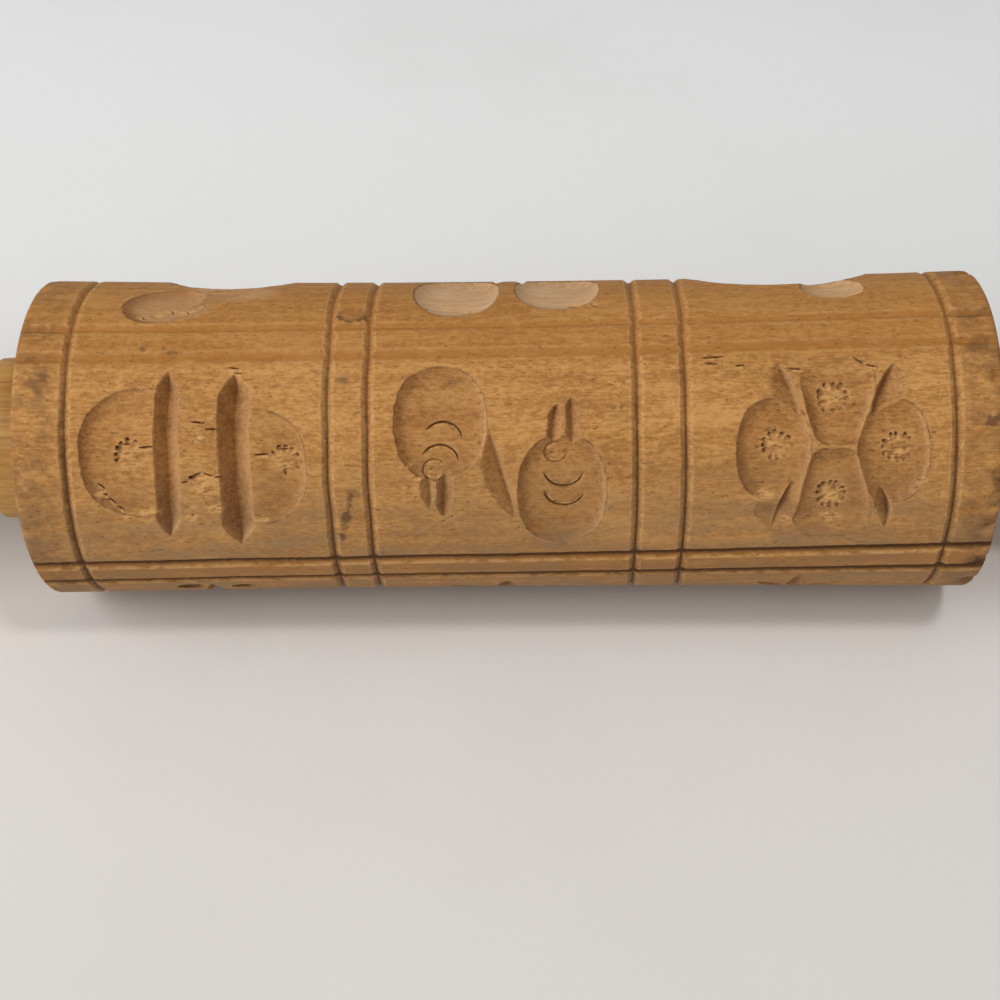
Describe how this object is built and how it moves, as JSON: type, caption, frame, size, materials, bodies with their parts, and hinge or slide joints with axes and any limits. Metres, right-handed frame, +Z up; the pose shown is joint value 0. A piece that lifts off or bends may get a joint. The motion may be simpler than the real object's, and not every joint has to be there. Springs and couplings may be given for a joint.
{
  "type": "springerle mould",
  "caption": "Carved wooden springerle roller with panels of fruit, flowers and leaves, turning on a steel axle between turned wooden handles.",
  "frame": {"origin": "middle of the roller on its axis", "axes": "+X along the axle, +Z up, -Y towards the side that the picture shows"},
  "size_m": [0.376, 0.06, 0.06],
  "materials": {
    "carved_wood": "worn, oiled by use",
    "handle_wood": "smooth, satin",
    "steel": "bright drawn",
    "nylon": "matt"
  },
  "bodies": {
    "handles": {"axle_rod": "steel", "left_handle": "handle_wood", "right_handle": "handle_wood", "left_washer": "steel", "right_washer": "steel", "left_nut_washer": "steel", "right_nut_washer": "steel", "left_nut": "steel", "right_nut": "steel", "left_plug": "handle_wood", "right_plug": "handle_wood"},
    "roller": {"roller": "carved_wood", "left_bush": "nylon", "right_bush": "nylon"}
  },
  "joints": [
    {"name": "roller_spin", "type": "hinge", "parent": "handles", "child": "roller", "pos_m": [0, 0, 0], "axis": [1, 0, 0], "continuous": true}
  ]
}
